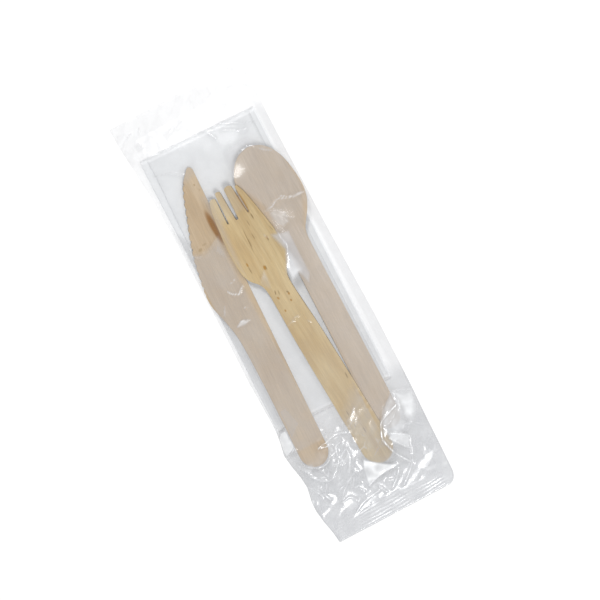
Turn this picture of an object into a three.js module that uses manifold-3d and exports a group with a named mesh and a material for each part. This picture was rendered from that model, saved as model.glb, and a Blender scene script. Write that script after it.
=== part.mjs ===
// A single-use cutlery pack: a clear plastic film flow-wrap, lying flat, that holds a wooden
// knife, a wooden fork, a wooden spoon and a folded paper napkin.
// Millimetres, +Z up. X runs across the pack, Y along it with the heads of the cutlery at +Y.
// The origin is the middle of the underside. From the bottom up, the film holds the napkin,
// then the knife and the spoon side by side, then the fork, which lies across both of them.

import * as THREE from 'three';
import { mergeVertices } from 'three/addons/utils/BufferGeometryUtils.js';
import Module from 'manifold-3d';

// ---------- driving dimensions ----------

const GAP = 0.3; // air kept between pieces that touch on the real pack

const film = {
  length: 241,
  wall: 0.45, // each web; real film is far thinner, this is the wall that collision needs
  seal: 11, // length of the flat heat seal at each end
  slack: 0.3, // air between the two webs where nothing holds them apart
  clearance: 0.7, // air between a piece and the web that lies over it
  margin: 3.5, // how far past a piece the web stays up before it starts to fall
  slope: 0.5, // how steeply the top web falls away from what holds it up
  sealSlope: 0.75, // how steeply it may rise out of an end seal
  columns: 16,
  rows: 42,
  vent: { width: 2.5, height: 0.3, x: 6 }, // unsealed channel through the lower end seal
};

const napkin = {
  length: 155,
  // The edges of the zigzag, bottom to top: the free edge of the lowest panel, the folds at
  // the right, left, right and left, and the free edge of the top panel.
  edges: [-31.0, 31.9, -32.5, 31.2, -29.2, 28.6],
  ply: 0.36, // thickness of one doubled panel
  air: 0.14, // air between two panels
  x: -0.2,
  y: 20.3,
  turn: -0.8,
};

const wood = 1.6; // thickness of the veneer that the cutlery is stamped from

const knife = {
  x: -19.8,
  y: 1.8,
  turn: -2.0,
  back: 7.5, // the straight back, right of the handle's middle line
  end: { halfWidth: 7.55, y: -74.5, drop: 8.2 },
  teeth: { from: 76, to: 20, count: 14, depth: 0.8 },
};

const fork = {
  x: 2.94,
  y: -12.7,
  turn: 3.0,
  roll: 12.3, // right side up: it lies on the spoon there and on the knife on its left
  pitch: 2.5,
  lift: 7.1,
  dish: 2.6, // how deep the head is pressed
  neck: 20, // where the pressed head begins, and where it reaches its full depth
  deep: 44,
  trough: 15.5, // half width of the press
  end: { halfWidth: 8.2, y: -73, drop: 8.6 },
  slots: [
    { root: -6.0, tip: -4.3, rootWidth: 0.8, tipWidth: 1.1 },
    { root: -0.8, tip: 0.1, rootWidth: 1.7, tipWidth: 2.8 },
    { root: 6.1, tip: 5.9, rootWidth: 1.6, tipWidth: 2.7 },
  ],
  slotRoot: 62.6,
};

const spoon = {
  x: 19.6,
  y: -0.4,
  turn: -0.3,
  dish: 3.2, // how deep the bowl is pressed
  bowl: { y: 53, halfWidth: 17, halfLength: 27.5 },
  end: { halfWidth: 6.8, y: -73.5, drop: 7 },
};

const blank = { halfWidth: 18, from: -84, to: 84, columns: 14, rows: 24 }; // veneer before stamping

// ---------- helpers ----------

const wasm = await Module();
wasm.setup();

const degrees = THREE.MathUtils.degToRad;

function toSolid(geometry) {
  const bare = geometry.clone();
  bare.deleteAttribute('normal');
  bare.deleteAttribute('uv');
  const merged = mergeVertices(bare, 1e-4);
  return new wasm.Manifold(new wasm.Mesh({
    numProp: 3,
    vertProperties: new Float32Array(merged.attributes.position.array),
    triVerts: new Uint32Array(merged.index.array),
  }));
}

function toGeometry(solid) {
  const mesh = solid.getMesh();
  const geometry = new THREE.BufferGeometry();
  geometry.setAttribute('position', new THREE.BufferAttribute(new Float32Array(mesh.vertProperties), 3));
  geometry.setIndex(new THREE.BufferAttribute(new Uint32Array(mesh.triVerts), 1));
  geometry.computeVertexNormals();
  return geometry;
}

function finish(name, geometry, look) {
  const mesh = new THREE.Mesh(geometry, new THREE.MeshStandardMaterial(look));
  mesh.name = name;
  return mesh;
}

// A shape from x, y pairs joined by straight lines.
function outline(points) {
  return new THREE.Shape(points.map(([x, y]) => new THREE.Vector2(x, y)));
}

// Points of a smooth curve through x, y pairs.
function smooth(points, divisions) {
  const curve = new THREE.SplineCurve(points.map(([x, y]) => new THREE.Vector2(x, y)));
  return curve.getPoints(divisions).map((p) => [p.x, p.y]);
}

function evenly(from, to, steps) {
  const list = [];
  for (let i = 0; i <= steps; i += 1) {
    list.push(from + ((to - from) * i) / steps);
  }
  return list;
}

// A rounded handle end: points from its right side round to its left.
function roundEnd({ halfWidth, y, drop }) {
  return evenly(0, Math.PI, 14)
    .slice(1, -1)
    .map((angle) => [halfWidth * Math.cos(angle), y - drop * Math.sin(angle)]);
}

function mirrored(points) {
  return points.map(([x, y]) => [-x, y]).reverse();
}

// Straight-line interpolation in a list of [at, value] pairs that runs upwards.
function interpolate(pairs, at) {
  let i = 1;
  while (i < pairs.length - 1 && pairs[i][0] < at) {
    i += 1;
  }
  const [a, valueA] = pairs[i - 1];
  const [b, valueB] = pairs[i];
  const t = THREE.MathUtils.clamp((at - a) / (b - a), 0, 1);
  return valueA + (valueB - valueA) * t;
}

// A blank of veneer whose underside stands at height(x, y). It is flat as far as its first
// line of faces at bend, and finely divided from there to its tip.
function pressedBlank(bend, height) {
  const rows = [blank.from, ...evenly(bend, blank.to, blank.rows)];
  const last = rows.length - 1;
  const box = new THREE.BoxGeometry(2 * blank.halfWidth, 1, wood, blank.columns, last, 1);
  const position = box.attributes.position;
  for (let i = 0; i < position.count; i += 1) {
    const x = position.getX(i);
    const y = rows[Math.round((position.getY(i) + 0.5) * last)];
    position.setXYZ(i, x, y, height(x, y) + wood / 2 + position.getZ(i));
  }
  return toSolid(box);
}

// The solid of a flat die, tall enough to pass right through a blank.
function die(shape, curveSegments = 12) {
  const reach = 30;
  const body = new THREE.ExtrudeGeometry(shape, {
    depth: 2 * reach,
    bevelEnabled: false,
    curveSegments,
  });
  body.translate(0, 0, -reach);
  return toSolid(body);
}

// ---------- napkin: one sheet, folded zigzag into five panels ----------

const napkinBase = film.wall + GAP;
const napkinPanels = napkin.edges.length - 1;
const napkinHeight = napkinPanels * napkin.ply + (napkinPanels - 1) * napkin.air;
const napkinTop = napkinBase + napkinHeight;

function makeNapkin() {
  const { edges, ply, air } = napkin;
  const outerRadius = ply + air / 2;
  const bend = (cx, cz, radius, side) => evenly(-Math.PI / 2, Math.PI / 2, 4)
    .map((angle) => [cx + side * radius * Math.cos(angle), cz + radius * Math.sin(angle)]);
  const up = [];
  const down = [];
  edges.slice(1, -1).forEach((edge, fold) => {
    const side = Math.sign(edge);
    const cx = edge - side * outerRadius;
    const cz = fold * (ply + air) + outerRadius;
    const outer = bend(cx, cz, outerRadius, side);
    const inner = bend(cx, cz, air / 2, side);
    up.push(...(side > 0 ? outer : inner));
    down.push(...(side > 0 ? inner : outer));
  });
  const first = edges[0];
  const last = edges[edges.length - 1];
  const section = [
    [first, 0],
    ...up,
    [last, napkinHeight - ply],
    [last, napkinHeight],
    ...down.reverse(),
    [first, ply],
  ];
  const geometry = new THREE.ExtrudeGeometry(outline(section), {
    depth: napkin.length,
    bevelEnabled: false,
  });
  geometry.rotateX(Math.PI / 2);
  geometry.translate(0, napkin.length / 2, 0);
  const mesh = finish('napkin', geometry, { color: 0xe2e5e7, roughness: 0.95, metalness: 0 });
  mesh.position.set(napkin.x, napkin.y, napkinBase);
  mesh.rotation.z = degrees(napkin.turn);
  return mesh;
}

// ---------- knife: flat, with a straight back and a toothed belly ----------

const cutleryBase = napkinTop + GAP;
const birch = { roughness: 0.62, metalness: 0 };

function makeKnife() {
  const belly = smooth([
    [4.3, 82.2], [-1.5, 74.2], [-6.3, 60.0], [-11.5, 42.5], [-14.1, 27.0], [-14.7, 17.0],
    [-13.6, 10.7], [-11.2, 2.5], [-9.1, -8.0], [-8.3, -24.0], [-7.8, -42.0], [-7.6, -73.0],
  ], 96);
  const { from, to, count, depth } = knife.teeth;
  const pitch = (from - to) / count;
  const toothed = [];
  for (const [x, y] of belly) {
    if (y > from || y < to) {
      toothed.push([x, y]);
    }
  }
  const bellyPairs = belly.map(([x, y]) => [y, x]).reverse();
  const teeth = [];
  for (let i = 0; i < count; i += 1) {
    const root = from - pitch * i;
    teeth.push([interpolate(bellyPairs, root) + depth, root]);
    for (const tip of [root - pitch * 0.3, root - pitch * 0.7]) {
      teeth.push([interpolate(bellyPairs, tip), tip]);
    }
  }
  const firstBelow = toothed.findIndex(([, y]) => y < to);
  const shape = outline([
    [knife.back - 0.2, 81.2],
    [5.6, 82.9],
    ...toothed.slice(0, firstBelow),
    ...teeth,
    ...toothed.slice(firstBelow),
    ...roundEnd(knife.end).reverse(),
    [knife.back, knife.end.y],
  ]);
  const geometry = new THREE.ExtrudeGeometry(shape, { depth: wood, bevelEnabled: false });
  const mesh = finish('knife', geometry, { color: 0xc4b299, ...birch });
  mesh.position.set(knife.x, knife.y, cutleryBase);
  mesh.rotation.z = degrees(knife.turn);
  return mesh;
}

// ---------- spoon: a stamped blade of veneer with a pressed bowl ----------

const spoonEnd = spoon.end.y - spoon.end.drop;
const spoonRise = spoon.dish / (spoon.bowl.y - spoonEnd);

// Underside of the spoon as it lies: the bottom of the bowl and the handle's end both touch.
function spoonHeight(x, y) {
  const { bowl, dish } = spoon;
  const away = (x / bowl.halfWidth) ** 2 + ((y - bowl.y) / bowl.halfLength) ** 2;
  return spoonRise * (y - spoonEnd) - dish * Math.max(0, 1 - away) ** 1.3;
}

function makeSpoon() {
  const right = smooth([
    [0, 79.5], [6.2, 77.6], [11.2, 72.5], [14.5, 64.5], [16.2, 53.0], [15.6, 45.0],
    [13.0, 38.6], [9.6, 33.4], [7.0, 28.6], [6.4, 20.0], [6.5, -10.0], [6.8, -73.0],
  ], 60);
  const left = mirrored(right.slice(1));
  const shape = outline([...right, ...roundEnd(spoon.end), ...left]);
  const bend = spoon.bowl.y - spoon.bowl.halfLength;
  const solid = pressedBlank(bend, spoonHeight).intersect(die(shape));
  const mesh = finish('spoon', toGeometry(solid), { color: 0xc6b7a8, ...birch });
  mesh.position.set(spoon.x, spoon.y, cutleryBase);
  mesh.rotation.z = degrees(spoon.turn);
  return mesh;
}

// ---------- fork: a stamped blade of veneer with a pressed head and three slots ----------

function forkHeight(x, y) {
  const along = THREE.MathUtils.smoothstep(y, fork.neck, fork.deep);
  const across = Math.max(0, 1 - (x / fork.trough) ** 2) ** 1.2;
  return -fork.dish * along * across;
}

// A slot between two tines: round at its root and open at the tips, where it is wider.
function slotDie({ root, tip, rootWidth, tipWidth }) {
  const radius = rootWidth / 2;
  const cut = new THREE.Shape();
  cut.moveTo(tip + tipWidth / 2, blank.to);
  cut.lineTo(tip - tipWidth / 2, blank.to);
  cut.lineTo(root - radius, fork.slotRoot);
  cut.absarc(root, fork.slotRoot, radius, Math.PI, 2 * Math.PI, false);
  return die(cut, 6);
}

function makeFork() {
  const right = smooth([
    [8.6, 76.2], [10.1, 71.0], [11.9, 60.0], [13.2, 50.0], [13.6, 41.5], [13.1, 36.0],
    [11.2, 31.4], [8.2, 27.8], [6.5, 22.5], [6.8, 9.0], [7.4, -7.0], [7.8, -40.0], [8.2, -72.0],
  ], 52);
  const tips = smooth([[-8.2, 77.2], [-4.2, 78.8], [0, 79.2], [4.2, 78.7], [8.2, 76.9]], 8);
  const shape = outline([...right, ...roundEnd(fork.end), ...mirrored(right), ...tips]);
  let solid = pressedBlank(fork.neck - 2, forkHeight).intersect(die(shape));
  for (const slot of fork.slots) {
    solid = solid.subtract(slotDie(slot));
  }
  const mesh = finish('fork', toGeometry(solid), { color: 0xc8b38b, ...birch });
  mesh.position.set(fork.x, fork.y, fork.lift);
  mesh.rotation.order = 'ZYX';
  mesh.rotation.set(degrees(fork.pitch), degrees(-fork.roll), degrees(fork.turn));
  return mesh;
}

// ---------- film: one tube of clear film round the contents, sealed flat at both ends ----------

const filmLeft = [
  [-120.5, -32.3], [-108, -34.3], [-99, -35.5], [-88, -34.3], [-68.5, -37], [-50, -35.2],
  [0, -35], [40, -34.8], [78, -35.2], [100, -36.8], [120.5, -38],
];
const filmRight = [
  [-120.5, 33], [-117, 35.5], [-100, 36.3], [-55, 37.5], [-25, 38], [0, 37.5], [30, 37.1],
  [55, 37.2], [80, 37.2], [120.5, 37.6],
];

// A patch of a piece that holds the top web up. at is its middle along the piece, w and l are
// half its width and length, top is its height there, and lean and rise are its slopes.
function prop(piece, at, w, l, top, lean, rise) {
  const angle = degrees(piece.turn);
  const x = piece.x - at * Math.sin(angle);
  const y = piece.y + at * Math.cos(angle);
  return { angle, x, y, w: w + film.margin, l: l + film.margin, top, lean, rise };
}

const spoonTop = (y) => cutleryBase + wood + spoonRise * (y - spoonEnd);
const forkLean = Math.tan(degrees(fork.roll));
const forkRise = Math.tan(degrees(fork.pitch));
const forkTop = (y) => fork.lift + wood + forkRise * y;

const props = [
  prop(napkin, 0, 37, 78, napkinTop, 0, 0),
  prop(knife, -35, 7.6, 46, cutleryBase + wood, 0, 0),
  prop(knife, 35, 14, 45, cutleryBase + wood, 0, 0),
  prop(spoon, -28, 7, 53, spoonTop(-28), 0, spoonRise),
  prop(spoon, 54, 15, 25, spoonTop(54), 0, spoonRise),
  prop(fork, -35, 8.2, 46, forkTop(-35), forkLean, forkRise),
  prop(fork, 48, 13.5, 32, forkTop(48), forkLean, forkRise),
];

// Height of the film's outside above the underside.
function filmHeight(x, y) {
  const sealStart = film.length / 2 - film.seal;
  let height = 2 * film.wall + (Math.abs(y) > sealStart + 0.5 ? 0 : film.slack);
  for (const { angle, x: px, y: py, w, l, top, lean, rise } of props) {
    const across = (x - px) * Math.cos(angle) + (y - py) * Math.sin(angle);
    const along = (y - py) * Math.cos(angle) - (x - px) * Math.sin(angle);
    const nearX = THREE.MathUtils.clamp(across, -w, w);
    const nearY = THREE.MathUtils.clamp(along, -l, l);
    const fall = film.slope * Math.hypot(across - nearX, along - nearY);
    const under = top + lean * nearX + rise * nearY;
    height = Math.max(height, under + film.clearance + film.wall - fall);
  }
  const toSeal = sealStart - Math.abs(y);
  const limit = 2 * film.wall + film.slack + Math.max(0, toSeal) * film.sealSlope;
  return Math.min(height, limit);
}

// A closed body between the underside and filmHeight, inset all round by a given wall. Both
// the outside and the hollow use the same rows, so the wall between them keeps its thickness.
function filmBody(inset, rows) {
  const box = new THREE.BoxGeometry(1, 1, 1, film.columns, rows.length - 1, 1);
  const position = box.attributes.position;
  for (let i = 0; i < position.count; i += 1) {
    const y = rows[Math.round((position.getY(i) + 0.5) * (rows.length - 1))];
    const x0 = interpolate(filmLeft, y) + inset;
    const x1 = interpolate(filmRight, y) - inset;
    const x = x0 + (x1 - x0) * (position.getX(i) + 0.5);
    const z = position.getZ(i) < 0 ? inset : filmHeight(x, y) - inset;
    position.setXYZ(i, x, y, z);
  }
  return toSolid(box);
}

function makeFilm() {
  const half = film.length / 2;
  const hollowRows = evenly(film.seal - half, half - film.seal, film.rows);
  const { width, height, x } = film.vent;
  const channel = new THREE.BoxGeometry(width, film.seal + 6, height);
  channel.translate(x, -half + film.seal / 2, film.wall + height / 2);
  const solid = filmBody(0, [-half, ...hollowRows, half])
    .subtract(filmBody(film.wall, hollowRows))
    .subtract(toSolid(channel));
  return finish('film_pouch', toGeometry(solid), {
    color: 0xe4e8e8,
    roughness: 0.2,
    metalness: 0,
    transparent: true,
    opacity: 0.3,
  });
}

// ---------- the pack ----------

const pack = new THREE.Group();
pack.add(makeNapkin(), makeKnife(), makeSpoon(), makeFork(), makeFilm());

export default pack;
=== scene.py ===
# %% [markdown]
# # A wrapped cutlery pack
#
# The real object is a single-use set: a birch knife, fork and spoon lie on a folded paper
# napkin, and a tube of clear film, sealed flat at both ends, holds them together. It lies on
# a pale table and is seen from straight above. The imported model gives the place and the
# limits of each piece, and this file makes the shapes that the eye meets there: stamped
# veneer, soft tissue paper and creased film.

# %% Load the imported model
import math

import bmesh
import bpy
import numpy as np
from mathutils import Euler, Matrix, Vector, noise
from mathutils.bvhtree import BVHTree


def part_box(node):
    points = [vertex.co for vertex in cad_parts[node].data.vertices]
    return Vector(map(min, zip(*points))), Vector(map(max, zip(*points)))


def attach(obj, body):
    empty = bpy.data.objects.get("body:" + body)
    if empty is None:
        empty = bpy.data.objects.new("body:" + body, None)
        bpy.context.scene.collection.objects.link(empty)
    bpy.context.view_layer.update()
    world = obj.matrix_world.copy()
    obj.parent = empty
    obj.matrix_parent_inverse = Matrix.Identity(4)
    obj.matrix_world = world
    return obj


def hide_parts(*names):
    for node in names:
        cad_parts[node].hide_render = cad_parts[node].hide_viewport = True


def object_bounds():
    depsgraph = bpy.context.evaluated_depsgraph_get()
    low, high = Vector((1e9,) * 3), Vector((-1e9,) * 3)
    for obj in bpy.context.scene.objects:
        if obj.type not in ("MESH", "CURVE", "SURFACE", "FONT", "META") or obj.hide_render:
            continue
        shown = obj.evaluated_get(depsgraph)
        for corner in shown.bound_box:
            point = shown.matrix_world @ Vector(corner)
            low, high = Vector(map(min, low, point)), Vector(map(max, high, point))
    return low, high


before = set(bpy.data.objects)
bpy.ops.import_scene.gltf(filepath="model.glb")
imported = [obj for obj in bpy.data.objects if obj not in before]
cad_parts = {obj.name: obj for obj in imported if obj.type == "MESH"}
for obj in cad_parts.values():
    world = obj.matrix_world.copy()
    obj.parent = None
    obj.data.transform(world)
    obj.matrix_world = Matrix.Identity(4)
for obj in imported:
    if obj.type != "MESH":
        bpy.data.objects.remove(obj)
MM = 0.001
cad_low, cad_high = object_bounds()
print("CAD box, mm:", [round(v / MM, 1) for v in (*cad_low, *cad_high)])

# %% [markdown]
# ## Camera, light and table
#
# The camera looks straight down and is turned 28 degrees clockwise, so the pack leans to the
# left. Its long lens keeps the pack's edges parallel. The table is a white light table, as
# product studios use to keep shadows faint. Two strip lamps hang above, one towards the
# handles and one towards the heads, so their light reaches down between the tines and along
# the gaps. A weaker lamp to the right picks out the edges and creases that face it.

# %% Camera, light and table
scene = bpy.context.scene
scene.view_settings.view_transform = "Standard"

VIEW_WIDTH = 304.6 * MM
VIEW_TURN = math.radians(-27.9)
VIEW_CENTRE = Vector((7.5, -1.7, 5.0)) * MM
LENS, SENSOR = 100.0, 36.0  # focal length and sensor width, in mm


def add_object(name, data):
    """An object for new data, linked to the scene."""
    made = bpy.data.objects.new(name, data)
    scene.collection.objects.link(made)
    return made


camera_data = bpy.data.cameras.new("camera")
camera_data.lens = LENS
camera_data.sensor_width = SENSOR
camera = add_object("camera", camera_data)
camera.location = VIEW_CENTRE + Vector((0, 0, VIEW_WIDTH * LENS / SENSOR))
camera.rotation_euler = (0, 0, VIEW_TURN)
scene.camera = camera


def add_lamp(name, position, width, length, power):
    """A strip lamp at a place in metres, pointed at the pack, its long side along the pack."""
    data = bpy.data.lights.new(name, "AREA")
    data.shape = "RECTANGLE"
    data.size = width
    data.size_y = length
    data.energy = power
    lamp = add_object(name, data)
    lamp.location = position
    lamp.rotation_euler = (-Vector(position)).to_track_quat("-Z", "Y").to_euler()


add_lamp("near_lamp", (0.08, -0.95, 2.3), 0.4, 0.7, 30)
add_lamp("far_lamp", (0.08, 1.45, 2.1), 0.4, 0.7, 26)
add_lamp("side_lamp", (0.62, 0.12, 0.80), 0.25, 0.25, 1.1)

world = bpy.data.worlds.new("room")
world.use_nodes = True
background = world.node_tree.nodes["Background"]
background.inputs["Color"].default_value = (0.98, 0.985, 1.0, 1)
background.inputs["Strength"].default_value = 0.42
scene.world = world


def new_material(name):
    """An empty material with a Principled shader; returns the material, tree and shader."""
    material = bpy.data.materials.new(name)
    material.use_nodes = True
    tree = material.node_tree
    return material, tree, tree.nodes["Principled BSDF"]


TABLE_HALF, TABLE_GAP = 6.0, 0.02 * MM


def make_table():
    """A wide light table just under the pack: matt white acrylic, lit faintly from below."""
    mesh = bpy.data.meshes.new("table")
    half = TABLE_HALF
    z = cad_low.z - TABLE_GAP
    corners = [(-half, -half, z), (half, -half, z), (half, half, z), (-half, half, z)]
    mesh.from_pydata(corners, [], [(0, 1, 2, 3)])
    table = add_object("table", mesh)
    material, _, shader = new_material("lit_acrylic")
    shader.inputs["Base Color"].default_value = (0.64, 0.64, 0.64, 1)
    shader.inputs["Emission Color"].default_value = (1, 1, 1, 1)
    shader.inputs["Emission Strength"].default_value = 0.27
    shader.inputs["Roughness"].default_value = 0.9
    shader.inputs["Specular IOR Level"].default_value = 0.1
    mesh.materials.append(material)


make_table()
print("view width, mm:", round(VIEW_WIDTH / MM, 1), "lamps:", len(bpy.data.lights))

# %% [markdown]
# ## Outlines of the cutlery
#
# Wooden cutlery is stamped from veneer 1.6 mm thick with a shaped die, so each piece starts
# as a flat outline. A few points with a smooth curve through them describe the long sides,
# and half an ellipse closes the handle. The outlines are in millimetres, along the piece's
# own middle line, with the tip at +y.

# %% Curves and outlines
WOOD = 1.6  # the veneer's thickness
# The rounded end of each handle: half width, place where it starts, length.
KNIFE_ROUND = (7.55, -74.5, 8.2)
SPOON_ROUND = (6.8, -73.5, 7.0)
FORK_ROUND = (8.2, -73.0, 8.6)


def smooth_curve(points, divisions):
    """Points of a smooth curve through a list of points (Catmull-Rom)."""
    p = np.array(points, float)
    result = []
    last = len(p) - 1
    for t in np.linspace(0, last, divisions + 1):
        i = min(int(t), last - 1)
        f = t - i
        a, b, c, d = p[max(i - 1, 0)], p[i], p[i + 1], p[min(i + 2, last)]
        v0, v1 = (c - a) / 2, (d - b) / 2
        result.append(tuple((2 * b - 2 * c + v0 + v1) * f**3
                            + (-3 * b + 3 * c - 2 * v0 - v1) * f**2 + v0 * f + b))
    return result


def round_end(half_width, y, length, steps=22):
    """The rounded end of a handle, from its right side round to its left."""
    angles = [math.pi * i / steps for i in range(1, steps)]
    return [(half_width * math.cos(a), y - length * math.sin(a)) for a in angles]


def mirrored(points):
    """The same points on the other side of the middle line, in the opposite order."""
    return [(-x, y) for x, y in reversed(points)]


# %% Knife outline, with its teeth
KNIFE_BACK, BACK_FROM = 7.5, -73.0
# The blunt tip, from the back to the belly.
KNIFE_TIP = [(7.3, 81.2), (6.9, 81.9), (5.9, 82.8), (5.2, 82.85)]
KNIFE_BELLY = [(4.3, 82.2), (-1.5, 74.2), (-6.3, 60.0), (-11.5, 42.5), (-14.1, 27.0), (-14.7, 17.0),
               (-13.6, 10.7), (-11.2, 2.5), (-9.1, -8.0), (-8.3, -24.0), (-7.8, -42.0), (-7.6, -73.0)]
TEETH_FROM, TEETH_TO, TEETH, TOOTH_DEPTH = 76.0, 20.0, 14, 0.8
# Parts of one tooth: how far along it, and how deep, as a share of TOOTH_DEPTH.
TOOTH = [(0.0, 1.0), (0.12, 0.45), (0.3, 0.08), (0.5, 0.0), (0.7, 0.08), (0.88, 0.45)]


def knife_outline():
    """The straight back, the blunt tip, the toothed belly and the rounded handle."""
    belly = smooth_curve(KNIFE_BELLY, 120)
    ys = np.array([y for _, y in belly])[::-1]
    xs = np.array([x for x, _ in belly])[::-1]
    pitch = (TEETH_FROM - TEETH_TO) / TEETH
    teeth = []
    for i in range(TEETH):
        for part, depth in TOOTH:
            y = TEETH_FROM - pitch * (i + part)
            teeth.append((float(np.interp(y, ys, xs)) + depth * TOOTH_DEPTH, y))
    above = [p for p in belly if p[1] > TEETH_FROM]
    below = [p for p in belly if p[1] < TEETH_TO]
    return [*KNIFE_TIP, *above, *teeth, *below, *round_end(*KNIFE_ROUND)[::-1], (KNIFE_BACK, BACK_FROM)]


# %% Spoon outline
SPOON_SIDE = [(0, 79.5), (6.2, 77.6), (11.2, 72.5), (14.5, 64.5), (16.2, 53.0), (15.6, 45.0),
              (13.0, 38.6), (9.6, 33.4), (7.0, 28.6), (6.4, 20.0), (6.5, -10.0), (6.8, -73.0)]


def spoon_outline():
    """The oval bowl and the straight handle, the same on both sides."""
    right = smooth_curve(SPOON_SIDE, 110)
    return [*right, *round_end(*SPOON_ROUND), *mirrored(right[1:])]


# %% Fork outline, with three slots
FORK_SIDE = [(8.6, 76.2), (10.1, 71.0), (11.9, 60.0), (13.2, 50.0), (13.6, 41.5), (13.1, 36.0),
             (11.2, 31.4), (8.2, 27.8), (6.5, 22.5), (6.8, 9.0), (7.4, -7.0), (7.8, -40.0),
             (8.2, -72.0)]
SLOT_ROOT, SLOT_MOUTH = 62.6, 80.0
# Each slot: its middle at the root and at the mouth, its width at the root and at the mouth.
SLOTS = [(-6.0, -4.3, 0.8, 1.1), (-0.8, 0.1, 1.6, 2.6), (6.2, 6.1, 1.0, 1.7)]
TINE_TIPS = [77.4, 79.2, 79.1, 77.0]


def slot_sides(slot, y):
    """The left and right side of a slot at height y along the fork."""
    root, mouth, root_width, mouth_width = slot
    f = (y - SLOT_ROOT) / (SLOT_MOUTH - SLOT_ROOT)
    middle = root + (mouth - root) * f
    half = (root_width + (mouth_width - root_width) * f) / 2
    return middle - half, middle + half


def tine_tip(left, right, top):
    """A blunt rounded tip between two sides, from its left to its right."""
    middle, half = (left + right) / 2, (right - left) / 2
    drop = min(half, 1.5)
    angles = [math.pi * (1 - i / 10) for i in range(11)]
    return [(middle + half * math.cos(a), top - drop + drop * math.sin(a)) for a in angles]


def fork_outline():
    """Four tines with round slot ends between them, the sides and the rounded handle."""
    side = smooth_curve(FORK_SIDE, 90)
    half_head, shoulders = side[0]
    left, points = -half_head, []
    for slot, top in zip(SLOTS, TINE_TIPS):
        right, next_left = slot_sides(slot, shoulders)
        points += tine_tip(left, right, top)
        a, b = slot_sides(slot, SLOT_ROOT)
        middle, radius = (a + b) / 2, (b - a) / 2
        angles = [math.pi * (1 + k / 8) for k in range(9)]
        points += [(middle + radius * math.cos(t), SLOT_ROOT + radius * math.sin(t)) for t in angles]
        left = next_left
    points += tine_tip(left, half_head, TINE_TIPS[-1])
    return [*points, *side, *round_end(*FORK_ROUND), *mirrored(side)]


for label, maker in (("knife", knife_outline), ("spoon", spoon_outline), ("fork", fork_outline)):
    print(label, "outline:", len(maker()), "points")

# %% [markdown]
# ## Stamping and pressing the veneer
#
# The factory presses the bowl of the spoon and the head of the fork while the wood is
# damp. Here the flat outline is given its thickness, its sharp stamped edges are eased, and
# a mesh of fine cuts is laid over it, so that it can bend. Then each point is raised or
# lowered as the press leaves it. A UV map keeps every point's place on the flat veneer, so
# that the grain is pressed with the wood. Each point also stores how much it belongs to the
# cut rim, more on the left. The rim is darkened later: partly burnish from the die, and
# partly painted shade, strongest on the fork, for the shadow along the left edges and in
# the slots.


# %% Make a stamped blade of veneer
def stamp_veneer(name, outline, press, pitch=1.3, ease=0.3):
    """A closed blade of wood from an outline in mm, pressed down by press(x, y) in mm."""
    bm = bmesh.new()
    ring = [bm.verts.new((x, y, 0)) for x, y in outline]
    face = bm.faces.new(ring)
    if face.normal.z < 0:
        face.normal_flip()
    bm.normal_update()
    lifted = bmesh.ops.extrude_face_region(bm, geom=[face])["geom"]
    top = [g for g in lifted if isinstance(g, bmesh.types.BMVert)]
    bmesh.ops.translate(bm, verts=top, vec=(0, 0, WOOD))
    bmesh.ops.recalc_face_normals(bm, faces=bm.faces[:])
    rims = [e for e in bm.edges if abs(e.verts[0].co.z - e.verts[1].co.z) < 1e-6]
    bmesh.ops.bevel(bm, geom=rims, offset=ease, segments=2, profile=0.6, affect="EDGES",
                    clamp_overlap=True)
    low = [min(p[i] for p in outline) for i in (0, 1)]
    high = [max(p[i] for p in outline) for i in (0, 1)]
    for axis in (0, 1):
        for cut in np.arange(low[axis] + pitch / 2, high[axis], pitch):
            plane, normal = [0, 0, 0], [0, 0, 0]
            plane[axis], normal[axis] = float(cut), 1
            bmesh.ops.bisect_plane(bm, geom=bm.verts[:] + bm.edges[:] + bm.faces[:],
                                   plane_co=plane, plane_no=normal, dist=1e-4)
    bm.normal_update()
    uv = bm.loops.layers.uv.new("veneer")
    rim = bm.verts.layers.float.new("rim")
    for f in bm.faces:
        f.smooth = True
        for loop in f.loops:
            loop[uv].uv = (loop.vert.co.x * MM, loop.vert.co.y * MM)
        if abs(f.normal.z) < 0.99:
            # Left-facing walls and bevels count more: their dark is painted shade for the shadow along the
            # left edges.
            left = max(0.0, -f.normal.x)
            for v in f.verts:
                on_the_cut = 0.01 < v.co.z < WOOD - 0.01
                v[rim] = max(v[rim], 0.5 + 0.5 * left if on_the_cut else 0.12 + 0.88 * left**2)
    for v in bm.verts:
        v.co.z += press(v.co.x, v.co.y)
    mesh = bpy.data.meshes.new(name)
    bm.to_mesh(mesh)
    bm.free()
    return add_object(name, mesh)


def place_on(piece, node, turn=0.0, roll=0.0, pitch=0.0):
    """Turns a piece made in mm, centres it on its CAD node and stands it on the node's level."""
    spin = Euler((math.radians(pitch), math.radians(-roll), math.radians(turn)), "XYZ")
    piece.data.transform(spin.to_matrix().to_4x4() @ Matrix.Scale(MM, 4))
    points = [v.co for v in piece.data.vertices]
    low = Vector(min(p[i] for p in points) for i in range(3))
    high = Vector(max(p[i] for p in points) for i in range(3))
    node_low, node_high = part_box(node)
    shift = (node_low + node_high - low - high) / 2
    shift.z = node_low.z - low.z
    piece.data.transform(Matrix.Translation(shift))
    size = [round((high[i] - low[i]) / MM, 1) for i in range(3)]
    print(piece.name, "size, mm:", size, "polygons:", len(piece.data.polygons))


# %% Press shapes
SPOON_END = SPOON_ROUND[1] - SPOON_ROUND[2]
BOWL_Y, BOWL_HALF_WIDTH, BOWL_HALF_LENGTH, BOWL_DEPTH = 53.0, 17.0, 27.5, 3.2
# The fork's hollow: its depth, where it starts, where it is deepest, and its half width.
FORK_DISH, FORK_NECK, FORK_DEEP, FORK_TROUGH = 2.6, 20.0, 44.0, 15.5


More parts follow.
